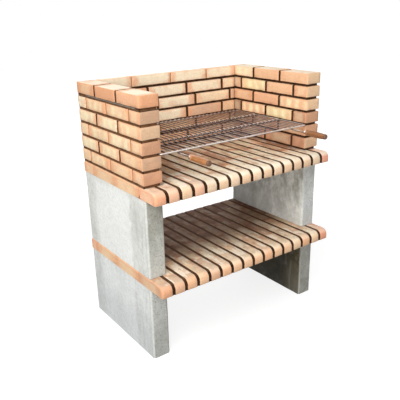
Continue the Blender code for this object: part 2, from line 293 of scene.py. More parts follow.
def add_brick(shape, low, high, tone, style="plain", front=None, run=0, radius=0.0028, wobble=0.0005,
              chip=0.0022, spacing=0.013, hidden=()):
    """A brick between two corners, with soft uneven arrises, small chips and slightly wavy faces.

    front is the tone of its front end, where that differs, and run the axis of its length. hidden
    lists the (axis, end) pairs of the sides that lie in a joint.
    """
    size = Vector(high) - Vector(low)
    radius = min(radius, min(size) * 0.3)
    stops = [side_stops(size[axis], radius, spacing) for axis in range(3)]
    last = [len(s) - 1 for s in stops]
    seed = random_place()
    index_of = {}
    points, uvw, stain, ends = [], [], [], []

    def corner(i, j, k):
        key = (i, j, k)
        if key not in index_of:
            mark = 0.0
            # Sides in a joint are marked for mortar smear and painted shade of the joint
            for axis, end in hidden:
                steps = abs(key[axis] - (last[axis] if end else 0))
                mark = max(mark, (1.0, 0.35, 0.0)[min(steps, 2)])
            stain.append(mark)
            ends.append(j < 2)
            p = Vector((stops[0][i], stops[1][j], stops[2][k]))
            core = Vector(min(max(p[a], radius), size[a] - radius) for a in range(3))
            normal = (p - core).normalized()
            place = core + normal * radius
            at = place + seed
            place += normal * wobble * (noise.noise(at * 28) - 1)
            if sum(abs(p[a] - core[a]) > 1e-6 for a in range(3)) > 1:
                place -= normal * chip * chipped(at, 75, 0.18)
            index_of[key] = len(points)
            points.append(tuple(place + Vector(low)))
            uvw.append(tuple(2 * p[a] / size[a] - 1 for a in range(3)))
        return index_of[key]

    faces = []
    for axis in range(3):
        b, c = (axis + 1) % 3, (axis + 2) % 3
        for end in (0, last[axis]):
            for m in range(last[b]):
                for n in range(last[c]):
                    quad = []
                    for dm, dn in ((0, 0), (1, 0), (1, 1), (0, 1)):
                        key = [0, 0, 0]
                        key[axis], key[b], key[c] = end, m + dm, n + dn
                        quad.append(corner(*key))
                    faces.append(quad if end else quad[::-1])
    if run == 1:
        uvw = [(v, u, w) for u, v, w in uvw]
    shade = 1 + dice.uniform(-0.02, 0.02)
    number = dice.uniform(0, 50)
    flame, bleach = STYLES[style]
    tones = (tone_of(tone, shade), tone_of(front or tone, shade))
    mixes = ((number, flame, bleach), (number, 0.1 if front else flame, 0.0))
    shape.add(points, faces, uvw, [tones[is_front] for is_front in ends],
              [mixes[is_front] for is_front in ends], stain)


def loft(rings):
    """Faces between closed rings of equally many points, with both ends capped."""
    count = len(rings[0])
    points = [tuple(p) for ring in rings for p in ring]
    faces = []
    for r in range(len(rings) - 1):
        for i in range(count):
            j = (i + 1) % count
            faces.append((r * count + i, r * count + j, (r + 1) * count + j, (r + 1) * count + i))
    faces.append(tuple(range(count))[::-1])
    faces.append(tuple((len(rings) - 1) * count + i for i in range(count)))
    return points, faces


def side_profile(length, height, nose, arris, spacing):
    """Outline in depth and height of a row's brick, with outward directions. Its front is at 0."""
    corners = (
        (nose, height - nose, nose, math.pi, math.pi / 2, 9),
        (length - arris, height - arris, arris, math.pi / 2, 0.0, 2),
        (length - arris, arris, arris, 0.0, -math.pi / 2, 2),
        (arris, arris, arris, -math.pi / 2, -math.pi, 2),
    )
    outline = []
    for y, z, radius, start, end, steps in corners:
        for step in range(steps + 1):
            angle = start + (end - start) * step / steps
            out = Vector((math.cos(angle), math.sin(angle)))
            outline.append((Vector((y, z)) + out * radius, out))
    dense = []
    for (p, a), (q, b) in zip(outline, outline[1:] + outline[:1]):
        dense.append((p, a))
        gap = (q - p).length
        pieces = int(gap / spacing)
        for i in range(1, pieces):
            dense.append((p.lerp(q, i / pieces), a.lerp(b, i / pieces).normalized()))
    return dense


def rounded_side(radius):
    """Distances from a brick's side and insets of its outline there, from the inside outward."""
    steps = 5 if radius > ROW_ARRIS else 3
    angles = [math.pi / 2 * step / steps for step in range(steps + 1)]
    return [(radius * (1 - math.sin(angle)), radius * (1 - math.cos(angle))) for angle in angles]


def add_row_brick(shape, low, high, tone, nose, style, hidden):
    """A brick of a slab's row, bullnosed where it is the front one and rounded on a free side.

    hidden says whether its left side and its right side lie in a joint.
    """
    width, length, height = (b - a for a, b in zip(low, high))
    profile = side_profile(length, height, nose, BUTT_ARRIS, 0.014)
    seed = random_place()
    left_round, right_round = (ROW_ARRIS if joined else END_RADIUS for joined in hidden)
    flat = width - left_round - right_round
    count = max(1, round(flat / 0.012))
    stops = rounded_side(left_round)[::-1]
    stops += [(left_round + flat * i / count, 0.0) for i in range(1, count)]
    stops += [(width - x, inset) for x, inset in rounded_side(right_round)]

    def local(p):
        y, z = p.y - low[1], p.z - low[2]
        return (2 * y / length - 1, 2 * (p.x - low[0]) / width - 1, 2 * z / height - 1)

    rings = []
    for number, (x, inset) in enumerate(stops):
        # Sides in a joint are marked for mortar smear and painted shade of the joint
        in_joint = hidden[0] and number < 3 or hidden[1] and number > len(stops) - 4
        ring = []
        for p, out in profile:
            forward = length - (length - p.x) * (length - inset * (nose > END_RADIUS)) / length
            place = Vector((x, forward, p.y * (height - inset) / height))
            at = place + seed
            bulge = 0.0004 * (noise.noise(at * 30) - 1)
            if inset > 0:
                bulge -= 0.0016 * chipped(at, 80, 0.2)
            place += Vector((0.0, out.x, out.y)) * bulge
            ring.append(place + Vector(low))
        rings.append((ring, [local(p) for p in ring], 0.9 if in_joint else 0.0))

    # Free sides are closed by ever smaller rings
    for end, side in ((0, -1), (-1, 1)):
        if hidden[end]:
            continue
        edge, _, mark = rings[end]
        ys = [p.y for p in edge]
        zs = [p.z for p in edge]
        middle = Vector((0.0, (min(ys) + max(ys)) / 2, (min(zs) + max(zs)) / 2))
        flatness = ((max(zs) - min(zs)) / 2) / ((max(ys) - min(ys)) / 2)
        for share in (0.06, 0.25, 0.5, 0.75, 0.95):
            ring = []
            for p in edge:
                y = middle.y + (p.y - middle.y) * (1 - share * flatness)
                z = middle.z + (p.z - middle.z) * (1 - share)
                dip = 0.0003 * (noise.noise(Vector((p.x * 7, y * 30, z * 40)) + seed) - 1)
                ring.append(Vector((p.x + side * dip, y, z)))
            places = [(local(p)[0], 0.0, local(p)[2]) for p in ring]
            rings.insert(len(rings) if end else 0, (ring, places, mark))
    points, faces = loft([ring for ring, _, _ in rings])
    uvw = [place for _, places, _ in rings for place in places]
    stain = [mark for _, places, mark in rings for _ in places]
    shade = 1 + dice.uniform(-0.03, 0.03)
    mix = (dice.uniform(0, 50), *STYLES[style])
    shape.add(points, faces, uvw, tone_of(tone, shade), mix, stain)


def cut_run(total, first, length, joint):
    """Bricks along a run: a first piece, whole bricks, then what is left."""
    pieces = [(0.0, min(first, total))]
    start = first + joint
    while start + length + joint + LEAST_BRICK < total:
        pieces.append((start, start + length))
        start += length + joint
    if total - start > LEAST_BRICK:
        pieces.append((start, total))
    else:
        pieces[-1] = (pieces[-1][0], total)
    return pieces


def part_of_run(low, high, axis, start, end):
    """The corners of what lies between two places along an axis of a box."""
    part_low, part_high = list(low), list(high)
    part_low[axis], part_high[axis] = low[axis] + start, low[axis] + end
    return part_low, part_high


# Materials


def linear(colour):
    """Screen colour to scene colour."""
    return tuple(c / 12.92 if c <= 0.04045 else ((c + 0.055) / 1.055) ** 2.4 for c in colour)


class Nodes:
    """Short calls for the nodes of one material or world, and the colour that was laid so far."""

    def __init__(self, owner):
        owner.use_nodes = True
        self.owner = owner
        self.tree = owner.node_tree
        self.colour = None
        self.relief = None

    def feed(self, socket, value):
        """Links an output to a socket, or gives the socket a plain value."""
        if isinstance(value, bpy.types.NodeSocket):
            self.tree.links.new(value, socket)
        else:
            socket.default_value = value

    def node(self, kind, inputs=None, **settings):
        """A new shader node with its inputs, by name or number, and its settings."""
        made = self.tree.nodes.new("ShaderNode" + kind)
        for key, value in settings.items():
            setattr(made, key, value)
        for key, value in (inputs or {}).items():
            self.feed(made.inputs[key], value)
        return made

    def place(self, output="Object"):
        return self.node("TexCoord").outputs[output]

    def upward(self):
        """One on a face that looks up, minus one on a face that looks down."""
        return self.parts(self.place("Normal"))[2]

    def attribute(self, name, output="Vector"):
        return self.node("Attribute", attribute_name=name).outputs[output]

    def parts(self, vector):
        return tuple(self.node("SeparateXYZ", {0: vector}).outputs)

    def thrice(self, value):
        return self.node("CombineXYZ", {0: value, 1: value, 2: value}).outputs[0]

    def stretched(self, vector, scale):
        return self.node("Mapping", {"Vector": vector, "Scale": scale}).outputs[0]

    def noise(self, vector, scale, detail=2.0, rough=0.5):
        inputs = {"Vector": vector, "Scale": scale, "Detail": detail, "Roughness": rough}
        return self.node("TexNoise", inputs).outputs["Fac"]

    def calc(self, operation, a, b=0.0, clamp=False):
        return self.node("Math", {0: a, 1: b}, operation=operation, use_clamp=clamp).outputs[0]

    def plus(self, a, b, clamp=False):
        return self.calc("ADD", a, b, clamp)

    def most(self, a, b):
        return self.calc("MAXIMUM", a, b)

    def size_of(self, value):
        return self.calc("ABSOLUTE", value)

    def times(self, product, *factors, clamp=False):
        """The product of one or more factors, held between 0 and 1 at its end if clamp is set."""
        for left, factor in enumerate(factors, 1 - len(factors)):
            product = self.calc("MULTIPLY", product, factor, clamp and not left)
        return product

    def swing(self, value, reach):
        """How far a noise is from its middle, times a reach."""
        return self.times(self.calc("SUBTRACT", value, 0.5), reach)

    def ramp(self, value, low, high, to_low=0.0, to_high=1.0):
        """A smooth step: to_low where the value is low, to_high where it is high."""
        inputs = {"Value": value, "From Min": low, "From Max": high,
                  "To Min": to_low, "To Max": to_high}
        return self.node("MapRange", inputs, interpolation_type="SMOOTHSTEP").outputs[0]

    def blend(self, factor, a, b, how="MIX"):
        """Mixes two colours. Each is an output, the name of a paint or a scene colour."""
        made = self.node("Mix", {0: factor}, data_type="RGBA", blend_type=how)
        for socket, value in ((made.inputs[6], a), (made.inputs[7], b)):
            if isinstance(value, str):
                value = linear(PAINTS[value])
            self.feed(socket, (*value, 1.0) if isinstance(value, tuple) else value)
        return made.outputs[2]

    def lay(self, paint, *factors):
        """Lays a paint over the colour so far, as strong as the product of the factors."""
        self.colour = self.blend(self.times(*factors), self.colour, paint)

    def tint(self, factor, colour):
        """Multiplies the colour so far by another one."""
        self.colour = self.blend(factor, self.colour, colour, "MULTIPLY")

    def bump(self, height, distance, strength):
        """Lays relief over the relief so far."""
        inputs = {"Height": height, "Distance": distance, "Strength": strength}
        if self.relief is not None:
            inputs["Normal"] = self.relief
        self.relief = self.node("Bump", inputs).outputs[0]

    def shade(self, inputs):
        """Gives the shader its inputs, besides the colour and the relief that were laid."""
        shader = self.tree.nodes["Principled BSDF"]
        if self.colour is not None:
            inputs = {"Base Color": self.colour, "Normal": self.relief, **inputs}
        for key, value in inputs.items():
            self.feed(shader.inputs[key], value)
        return shader.outputs[0]


def new_nodes(name):
    return Nodes(bpy.data.materials.new(name))


def brick_material(name, slab=False):
    """Fired brick: its own tone, flamed rims, a bleached heart, fine grain and dark specks."""
    m = new_nodes(name)
    place = m.place()
    seed, flame, bleach = m.parts(m.attribute("brick_mix"))
    chance = m.node("TexWhiteNoise", {"W": seed}, noise_dimensions="1D").outputs["Value"]
    own = m.node("VectorMath", {0: place, 1: m.thrice(seed)}, operation="ADD").outputs[0]
    run, side, level = m.parts(m.attribute("brick_uvw"))
    along = m.size_of(run if slab else m.plus(run, m.swing(chance, 0.36)))
    across = m.size_of(side if slab else level)
    up = m.upward()

    clouds = m.noise(own, 16, 2, 0.45)
    streaks = m.noise(own, 42, 3, 0.55)
    grain = m.noise(own, 420, 4, 0.65)
    uneven = m.swing(streaks, 0.7)
    drift = m.swing(clouds, 0.9)
    ragged_along = m.plus(along, uneven)
    ragged_across = m.plus(across, uneven)

    # Bleached heart
    reach = m.plus(m.most(along, m.times(across, 0.75)), drift)
    barred = m.ramp(bleach, 0.8, 0.95)
    heart = m.times(m.ramp(reach, 0.9, 0.3), bleach, m.ramp(barred, 0, 1, 0.85, 0.05))
    m.colour = m.blend(heart, m.attribute("brick_tone", "Color"), "bleached heart")

    # Pale upright bars
    phase = m.plus(m.plus(m.times(run, 10.5), m.times(seed, 7)), m.times(uneven, 5))
    wave = m.plus(m.calc("SINE", phase), m.times(drift, 2.2))
    m.lay("pale bar", m.ramp(wave, -0.9, 1.2), m.ramp(ragged_across, 1.1, 0.35), barred, 0.85)

    # Flamed rims
    ends = m.ramp(ragged_along, 0.6, 1)
    edges = m.times(m.ramp(ragged_across, 0.6, 1.1), 0.6)
    m.lay("flamed rim", m.most(ends, edges), flame)
    m.lay("flamed patch", m.ramp(clouds, 0.48, 0.3), 0.35)

    # Grain and specks
    soft_grain = m.ramp(m.noise(own, 150, 2, 0.6), 0.3, 0.7, 0.945, 1.05)
    m.tint(1, m.thrice(m.times(m.ramp(grain, 0.25, 0.75, 0.88, 1.09), soft_grain)))
    specks = m.ramp(m.noise(own, 620, 1, 0.5), 0.7, 0.78)
    m.lay("dark speck", specks, 0.55)

    if slab:
        mark_slab(m, place, own, chance, up, clouds, streaks)
        # Darker towards the bottom of each row's front end
        m.lay("darker nose foot", m.ramp(level, -0.3, -0.98), m.ramp(run, -0.5, -0.8), 0.35)
    else:
        # Paler top faces of the top course away from the brick ends: dust and a painted highlight
        bare = m.ramp(m.plus(along, m.times(uneven, 1.6)), 1.1, 0.5, 0.1, 0.9)
        m.lay("wall top dust and highlight", m.ramp(up, 0.7, 0.97), bare, m.ramp(clouds, 0.3, 0.52, 0.62, 1),
              m.ramp(m.parts(place)[2], *WALL_TOP))

    # Mortar left on the sides that lie in a joint, with painted shade of the joint, paler where a
    # side faces up: painted light
    stain = m.attribute("brick_stain_and_light", "Fac")
    smeared_and_shaded = m.times(m.ramp(m.plus(stain, m.swing(streaks, 0.5)), 0.4, 0.7),
                      m.ramp(stain, 0, 0.3))
    lit_smear = "lit mortar smear and joint shade" if slab else "mortar smear and joint shade"
    m.lay(m.blend(m.ramp(up, 0.3, 0.9), "mortar smear and joint shade", lit_smear), smeared_and_shaded)

    m.bump(m.ramp(m.noise(own, 190, 3, 0.6), 0.3, 0.52), 0.0006, 0.6)
    m.bump(grain, 0.0005, 0.7)
    m.shade({"Roughness": m.ramp(grain, 0.2, 0.8, 0.72, 0.93), "Specular IOR Level": 0.25})
    return m.owner


def mark_slab(m, place, own, chance, up, clouds, streaks):
    """What only slabs show: pale lips with a painted highlight, dust and soot with painted shade,
    scorched and whitened patches, and painted shade at the shelf's rear.
    """
    sideways, deep, high = m.parts(place)
    hearth = m.ramp(high, 0.5, 0.7)
    top = m.ramp(up, 0.85, 0.98)

    # Pale lips along the front of the tops: dust and a painted highlight where they face up, weaker
    # at the left end, a painted shadow of the left wing
    m.lay("pale lip and highlight", m.ramp(up, 0.25, 0.75), m.ramp(deep, -0.13, -0.23),
          m.ramp(hearth, 0, 1, 0.35, 0.75), m.ramp(clouds, 0.25, 0.6, 0.5, 1),
          m.ramp(sideways, -0.32, -0.18, 0.25, 1))

    # Dust on the tops, with painted shade: darker tops behind the front, at the left end in the left
    # wing's shadow, and all over the shelf under the hearth
    dusty_and_shaded = m.most(m.ramp(deep, -0.22, -0.13, 0, 0.3), m.ramp(sideways, -0.18, -0.3))
    dusty_and_shaded = m.most(dusty_and_shaded, m.ramp(hearth, 1, 0))
    m.lay("slab dust and shade", m.ramp(up, 0.75, 0.98), m.ramp(streaks, 0.35, 0.65, 0.1, 0.6), dusty_and_shaded)

    patch = m.noise(m.stretched(own, (1, 0.4, 1)), 30, 3, 0.55)
    m.lay("scorched patch", top, m.ramp(patch, 0.52, 0.62, 0, 0.5), m.ramp(deep, -0.235, -0.2))
    m.lay("whitened patch", top, m.ramp(patch, 0.47, 0.39, 0, 0.7))

    # Soot on the hearth's tops towards the back, with painted shade there under the grill, and
    # painted shadow along the foot of the right wing
    sooty_and_shaded = m.most(m.ramp(deep, 0, 0.25, 0, 0.25), m.ramp(sideways, 0.35, 0.42, 0, 0.5))
    m.lay("soot and shade", sooty_and_shaded, top, hearth, m.ramp(deep, -0.2, -0.1))

    # Painted shade on the shelf's rows behind their front, under the hearth
    ragged = m.plus(deep, m.times(chance, 0.1))
    m.lay("painted shade at rear", m.ramp(ragged, -0.13, 0.1), m.ramp(high, 0.7, 0.5),
          m.ramp(chance, 0, 1, 0.8, 1), m.ramp(m.size_of(sideways), 0.44, 0.41),
          m.ramp(clouds, 0.3, 0.7, 0.82, 1))


def mortar_material(name, dark, pale, sandy):
    """Mortar with sand grains and paler smears."""
    m = new_nodes(name)
    place = m.place()
    sand = m.noise(place, 700, 3, 0.7)
    m.colour = m.blend(m.ramp(m.noise(place, 30, 3), 0.35, 0.7), dark, pale)
    m.lay(sandy, m.ramp(sand, 0.6, 0.72, 0, 0.6))
    # Paler where the mortar faces up: sand, and painted light on the tops
    m.lay(sandy, m.ramp(m.upward(), 0.75, 0.97, 0, 0.75))
    m.bump(sand, 0.0009, 0.9)
    m.shade({"Roughness": m.ramp(sand, 0.2, 0.8, 0.85, 1), "Specular IOR Level": 0.15})
    return m.owner


def concrete_material():
    """Cast concrete: a pale field between darker margins, streaks, speckles and small air holes."""
    m = new_nodes("cast_concrete")
    place = m.place()
    clouds = m.noise(place, 6, 4, 0.55)
    patches = m.noise(place, 22, 4, 0.6)
    coarse = m.noise(place, 150, 4, 0.7)
    grain = m.noise(place, 500, 4, 0.7)
    runs = m.noise(m.stretched(place, (1, 1, 0.12)), 34, 3, 0.5)
    front_grime_and_shade, inner_grime_and_shade, panel = m.parts(m.attribute("brick_mix"))
    inner = m.attribute("brick_stain_and_light", "Fac")
    _, deep, tall = m.parts(m.attribute("brick_uvw"))
    along = m.size_of(deep)
    grimy_and_shaded = m.ramp(inner_grime_and_shade, 0.5, 0.8)
    clear = m.calc("SUBTRACT", 1, grimy_and_shaded)

    def by_leg(for_grimy, for_clear):
        """One number for the legs that are grimy and shaded inside and another for the clear ones."""
        return m.plus(m.times(grimy_and_shaded, for_grimy), m.times(clear, for_clear))

    m.colour = m.blend(m.ramp(clouds, 0.3, 0.7), "cast grey", "cast pale")
    m.lay("cast patch", m.ramp(patches, 0.45, 0.7, 0, 0.45))
    m.lay("cast streak", m.ramp(runs, 0.5, 0.3, 0, 0.4))

    # The pale field of the sides
    shaken = m.plus(deep, m.swing(patches, 0.25))
    m.lay("cast field", panel, m.ramp(shaken, -0.56, -0.46), m.ramp(shaken, 0.8, 0.58),
          m.ramp(tall, 1, 0.8, 0.55, 1), m.ramp(inner, 0.9, 0.5))
    m.lay("cast foot", m.ramp(tall, 0.6, -0.5), m.ramp(panel, 0.6, 0.5, 0, 0.36))
    m.tint(m.ramp(panel, 0.6, 0.5), COOL)

    # Speckled ends, and painted shade on the chamfers and on the strip of the sides next to them
    end = m.ramp(along, 0.985, 0.998)
    # Grime on the ends, with painted shade: strongest on the lower right leg's front under the shelf,
    # and towards the top of the upper legs under the hearth
    worn = m.times(end, m.plus(front_grime_and_shade, m.swing(patches, 0.8)), clamp=True)
    height = by_leg(m.ramp(tall, -0.9, 0.9, 1.05, 0.76), m.ramp(tall, -0.95, 0.9, 0.55, 1.4))
    m.lay("end grime and shade", m.times(worn, height, clamp=True))
    m.lay("end speckle", m.ramp(coarse, 0.53, 0.66), m.ramp(end, 0, 1, 0.1, 0.64),
          m.ramp(front_grime_and_shade, 0.1, 0.5, 0.6, 1))
    m.lay("shade by the chamfer", m.ramp(along, 0.998, 0.992), m.ramp(along, 0.93, 0.978), 0.7)

    # Grime inside, with painted light and shade: paler low down, darker and browner on the lower legs
    # under the shelf, and lighter towards the open front
    m.lay("lit inside", inner, m.ramp(tall, 0.5, -0.8, 0, 0.8))
    damp_and_shade = m.times(inner, inner_grime_and_shade, m.ramp(clouds, 0.25, 0.6, 0.85, 1.2), clamp=True)
    damp_and_shade = m.times(damp_and_shade, m.ramp(tall, -1, 0.4, 0.88, 1))
    deepest = m.times(m.ramp(inner_grime_and_shade, 0.6, 0.85), m.ramp(tall, -0.2, 0.8, 0, 0.3), inner)
    m.lay("damp grime and shade", m.plus(damp_and_shade, deepest, clamp=True))
    blotch = m.noise(m.stretched(place, (1, 1, 0.65)), 17, 5, 0.7)
    blotch = m.plus(blotch, m.swing(clouds, 0.35))
    mottled_and_shaded = m.times(inner, m.ramp(blotch, 0.38, 0.66), m.ramp(tall, -1.1, 0.5, 0.22, 0.62),
                      m.ramp(inner_grime_and_shade, 0.4, 0.9, 1, 1.5), clamp=True)
    m.lay("mottled grime and shade", mottled_and_shaded)
    m.lay("pale smear", inner, m.ramp(runs, 0.54, 0.7), m.ramp(inner_grime_and_shade, 0.3, 0.9, 0.5, 0.12))
    m.lay("clean patch", inner, m.ramp(blotch, 0.46, 0.32), m.ramp(inner_grime_and_shade, 0.2, 0.8, 0.4, 0.1))
    # Browner and darker inner faces of the lower legs: grime and painted shade
    m.tint(m.times(inner, grimy_and_shaded), BROWNED)
    m.tint(m.times(inner, clear), GREENED)
    # Painted light and shade inside: lighter towards the front, darker towards the rear
    depth = by_leg(m.ramp(deep, -0.42, -0.97, 0.58, 1.9), m.ramp(deep, 0.8, -0.3, 0.88, 1.34))
    m.tint(inner, m.thrice(depth))

    # Grain and air holes
    fine = m.times(m.ramp(grain, 0.25, 0.75, 0.92, 1.055),
                   m.ramp(m.noise(place, 130, 2, 0.6), 0.3, 0.7, 0.95, 1.045),
                   m.ramp(m.noise(place, 48, 2, 0.6), 0.3, 0.7, 0.955, 1.04))
    m.tint(1, m.thrice(fine))
    cells = m.node("TexVoronoi", {"Vector": place, "Scale": 85.0}, feature="F1")
    holes = m.times(m.ramp(cells.outputs["Distance"], 0.16, 0.1),
                    m.ramp(m.noise(place, 45, 2), 0.52, 0.62))
    m.lay("air hole", holes, 0.7)
    m.bump(m.calc("SUBTRACT", 1, holes), 0.0015, 0.8)
    m.bump(grain, 0.0004, 0.6)
    m.shade({"Roughness": m.ramp(patches, 0.3, 0.7, 0.72, 0.92), "Specular IOR Level": 0.3})
    return m.owner


def steel_material(name, light, dark, rough):
    """Plated bar with faint brown heat haze and fine draw marks, with a painted highlight where it is
    marked and painted shade on its underside.
    """
    m = new_nodes(name)
    place = m.place()
    haze = m.noise(place, 18, 4, 0.6)
    m.colour = m.blend(m.ramp(haze, 0.35, 0.65), linear(light), linear(dark))
    m.lay("painted highlight on steel", m.attribute("brick_stain_and_light", "Fac"))
    m.lay("painted shade under steel", m.ramp(m.upward(), 0.15, -0.45, 0, 0.85))
    m.bump(m.noise(place, 900, 2), 0.0002, 0.5)
    m.shade({"Roughness": m.ramp(haze, 0.3, 0.7, rough - 0.07, rough + 0.1), "Metallic": 1.0})
    return m.owner


def wood_material():
    """Turned and varnished grip, its grain along the length and its front end darker."""
    m = new_nodes("turned_wood")
    drawn = m.stretched(m.place(), (1, 0.05, 1))
    fibres = m.noise(drawn, 420, 4, 0.6)
    share = m.parts(m.attribute("brick_uvw"))[0]
    aged = m.parts(m.attribute("brick_mix"))[1]
    m.colour = m.blend(m.ramp(fibres, 0.3, 0.7), "dark fibre", "light fibre")
    m.lay("wood band", m.ramp(m.noise(drawn, 90, 2), 0.5, 0.7, 0, 0.5))
    m.lay("dark wood end", m.ramp(share, 0.9, 0.965, 0, 0.85))
    m.lay("bare wood", m.ramp(share, 0.16, 0.08, 0, 0.5))
    m.lay("aged wood", aged)
    m.bump(fibres, 0.0003, 0.6)
    m.shade({"Roughness": m.ramp(fibres, 0.3, 0.7, 0.38, 0.52), "Coat Weight": 0.25,
             "Coat Roughness": 0.25})
    return m.owner


wall_brick = brick_material("wall_brick")
slab_brick = brick_material("slab_brick", slab=True)
mortar, brown_mortar, slab_mortar, grey_mortar, pale_mortar = (
    mortar_material(name, *map(linear, tones)) for name, tones in MORTARS.items())
concrete = concrete_material()
bright_steel = steel_material("bright_bar", (0.92, 0.885, 0.855), (0.8, 0.75, 0.72), 0.34)
wire_steel = steel_material("grill_wire", (0.69, 0.64, 0.635), (0.55, 0.485, 0.48), 0.4)
# The cross bars: dark steel, partly blackened and partly painted shade under the wires
dark_shaded_steel = steel_material("cross_bar", (0.24, 0.205, 0.2), (0.17, 0.14, 0.135), 0.5)
wood = wood_material()


# Slabs


def make_slab(slab, noses):
    """The slab's rows of bricks, and the mortar joints between them as one piece."""
    boxes = [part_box(f"{slab}_row_{row:02d}") for row in range(1, ROWS + 1)]
    row_width = boxes[-1][1].x - boxes[-1][0].x
    lap = 0.0006
    joints = Shape()
    for index, (low, high) in enumerate(boxes):
        joined = (index > 0, index < ROWS - 1)
        outer = not all(joined)
        high.x = low.x + row_width
        shape = Shape()
        first = dice.choice((0.5, 0.75, 1.0)) * ROW_BRICK + dice.uniform(-0.02, 0.01)
        for number, (start, end) in enumerate(cut_run(high.y - low.y, first, ROW_BRICK, BUTT_JOINT)):
            tone = dice.choice(OUTER_TONES if outer else ROW_TONES)
            style = "soft" if outer else dice.choice(("soft", "glow", "plain"))
            nose = BUTT_ARRIS
            if number == 0:
                tone, nose, style = noses[index], NOSE_RADIUS, "plain" if joined[0] else "soft"
            add_row_brick(shape, *part_of_run(low, high, 1, start, end), tone, nose, style, joined)
        row = f"{slab}_row_{index + 1:02d}"
        shape.piece(f"{row}_bricks", slab_brick, "masonry", "brick", (row,))
        if joined[1]:
            add_slab_joint(joints, low, high, high.x - lap, boxes[index + 1][0].x + lap)
    joints.piece(f"{slab}_mortar", slab_mortar, "masonry", "mortar")


def add_slab_joint(shape, low, high, left, right):
    """One mortar joint between two rows, a little under the bricks' faces and uneven."""
    recess = 0.0013
    length, height = high.y - low.y - 2 * recess, high.z - low.z - 2 * recess
    profile = side_profile(length, height, NOSE_RADIUS - recess, 0.0008, 0.016)
    seed = Vector((dice.uniform(0, 60), 0.0, 0.0))
    rings = []
    for share in (0.0, 0.25, 0.5, 0.75, 1.0):
        x = left + (right - left) * share
        hollow = 0.0007 * math.sin(math.pi * share)
        ring = []
        for p, out in profile:
            place = Vector((x, low.y + recess + p.x, low.z + recess + p.y))
            rough = 0.0005 * noise.noise(place * 90 + seed)
            ring.append(place - Vector((0.0, out.x, out.y)) * (hollow + rough))
        rings.append(ring)
    shape.add(*loft(rings))


# Firebox


def make_course(wall, number, axis, pieces, looks, front, hidden_of, filling):
    """The bricks of one course, end to end along an axis, and the upright joints between them."""
    course = f"{wall}_course_{number}"
    low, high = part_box(course)
    shape = Shape()
    for place, ((start, end), look) in enumerate(zip(pieces, looks.split(", "))):
        add_brick(shape, *part_of_run(low, high, axis, start, end), *look.split(),
                  front=None if place else front, run=axis, hidden=hidden_of(place))
    shape.piece(f"{wall}_bricks_{number}", wall_brick, "masonry", "brick", (course,))
    necks = Shape()
    for (_, end), (start, _) in zip(pieces, pieces[1:]):
        neck_low, neck_high = part_of_run(low, high, axis, end - MORTAR_LAP, start + MORTAR_LAP)
        neck_low[1 - axis] += UPRIGHT_RECESS
        neck_high[1 - axis] -= UPRIGHT_RECESS
        neck_low[2] -= MORTAR_LAP
        neck_high[2] += MORTAR_LAP if number > 1 else -UPRIGHT_RECESS
        add_mortar(necks, neck_low, neck_high)
    necks.piece(f"{wall}_uprights_{number}", filling, "masonry", "mortar")


def make_wing(side, looks, fronts):
    """One wing's courses. Whole bricks and headers take turns to start them at the front."""
    for number in range(1, COURSES + 1):
        low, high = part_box(f"{side}_wing_course_{number}")
        header = (WING_BRICK - BED_JOINT) / 2
        first = WING_BRICK if number % 2 else header
        pieces = cut_run(high.y - low.y, first, WING_BRICK, BED_JOINT)

        def hidden_of(place):
            hidden = [(2, 0)]
            if side == "left" and number == 2:
                hidden.append((2, 1))
            if side == "right" or number % 2:
                hidden += [(1, 0)] if place else []
                hidden += [(1, 1)] if place < len(pieces) - 1 else []
            return hidden

        filling = mortar if side == "right" else brown_mortar if number % 2 else pale_mortar
        make_course(f"{side}_wing", number, 1, pieces, looks[number - 1], fronts[number - 1],
                    hidden_of, filling)


def make_back_wall(looks):
    """The courses between the wings. The top one has thin pale joints."""
    for number in range(1, COURSES + 1):
        low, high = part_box(f"back_wall_course_{number}")
        top = number == 1
        joint = TOP_BACK_JOINT if top else BED_JOINT
        pieces = cut_run(high.x - low.x, BACK_FIRST_BRICKS[number - 1], BACK_BRICK, joint)
        hidden = [(2, 0)] if top else [(0, 0), (0, 1), (2, 0)]
        make_course("back_wall", number, 0, pieces, looks[number - 1], None,
                    lambda place: hidden, pale_mortar if top else mortar)


def add_mortar(shape, low, high, wobble=0.0014):
    """A block of mortar with an uneven raked face."""
    add_brick(shape, low, high, "clay", radius=0.0008, wobble=wobble, chip=0.0, spacing=0.007)


